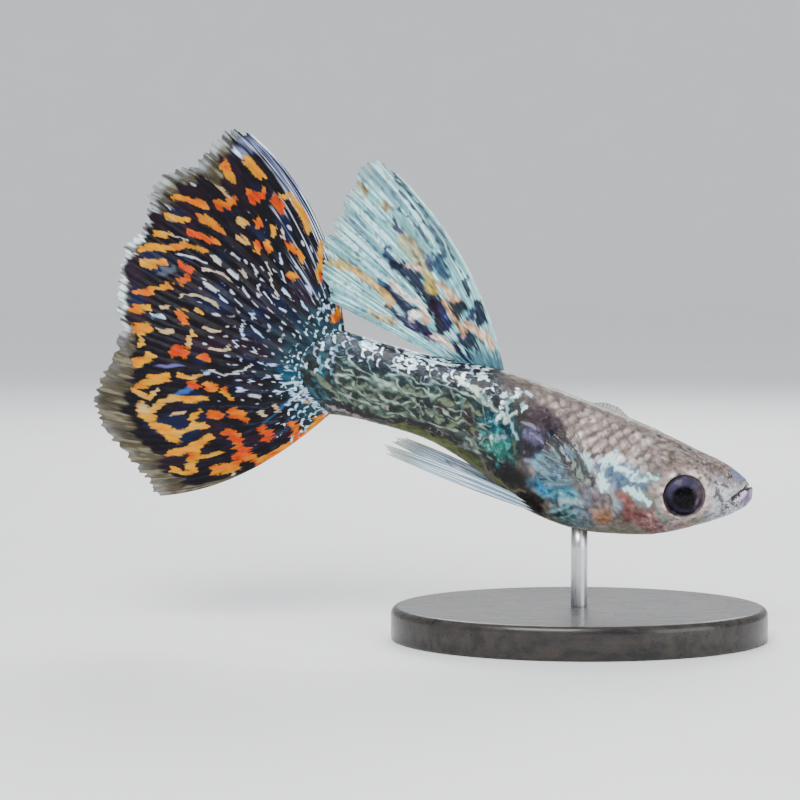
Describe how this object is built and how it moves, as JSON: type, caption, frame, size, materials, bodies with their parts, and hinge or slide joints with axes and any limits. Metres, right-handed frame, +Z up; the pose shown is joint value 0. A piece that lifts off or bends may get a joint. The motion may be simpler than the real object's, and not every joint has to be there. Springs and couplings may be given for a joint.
{
  "type": "fancy guppy",
  "caption": "Male fancy guppy with a fan-shaped mosaic tail, a long swept dorsal fin and a slender gonopodium, held nose-down on a flat display stand.",
  "frame": {"origin": "centre of the underside of the stand's base, on the floor plane", "axes": "+Z up, +X towards the snout as seen from the side, -Y towards the fish's right side"},
  "size_m": [0.0449, 0.017, 0.0336],
  "materials": {
    "head_skin": "wet-looking grey-pink skin with silver and cyan patches",
    "trunk_skin": "wet-looking scaled skin, grey back, dark blotches and cyan-blue flank",
    "stem_skin": "wet-looking dark skin with pale snakeskin lines",
    "tail_fin": "blue-black fin membrane with orange mosaic blotches",
    "dorsal_fin": "pale cyan fin membrane with navy blotches",
    "clear_fin": "nearly clear fin membrane",
    "pelvic_fin": "blue-white fin membrane",
    "eye": "clear cornea over a dark iris with a thin silver rim",
    "stand_base": "satin black",
    "stand_rod": "brushed"
  },
  "bodies": {
    "root": {"head": "head_skin", "trunk": "trunk_skin", "tail_stem": "stem_skin", "caudal_fin": "tail_fin", "dorsal_fin": "dorsal_fin", "pectoral_fin_left": "clear_fin", "pectoral_fin_right": "clear_fin", "pelvic_fin_left": "pelvic_fin", "pelvic_fin_right": "pelvic_fin", "gonopodium": "pelvic_fin", "eye_left": "eye", "eye_right": "eye", "stand_base": "stand_base", "stand_rod": "stand_rod"}
  },
  "joints": []
}
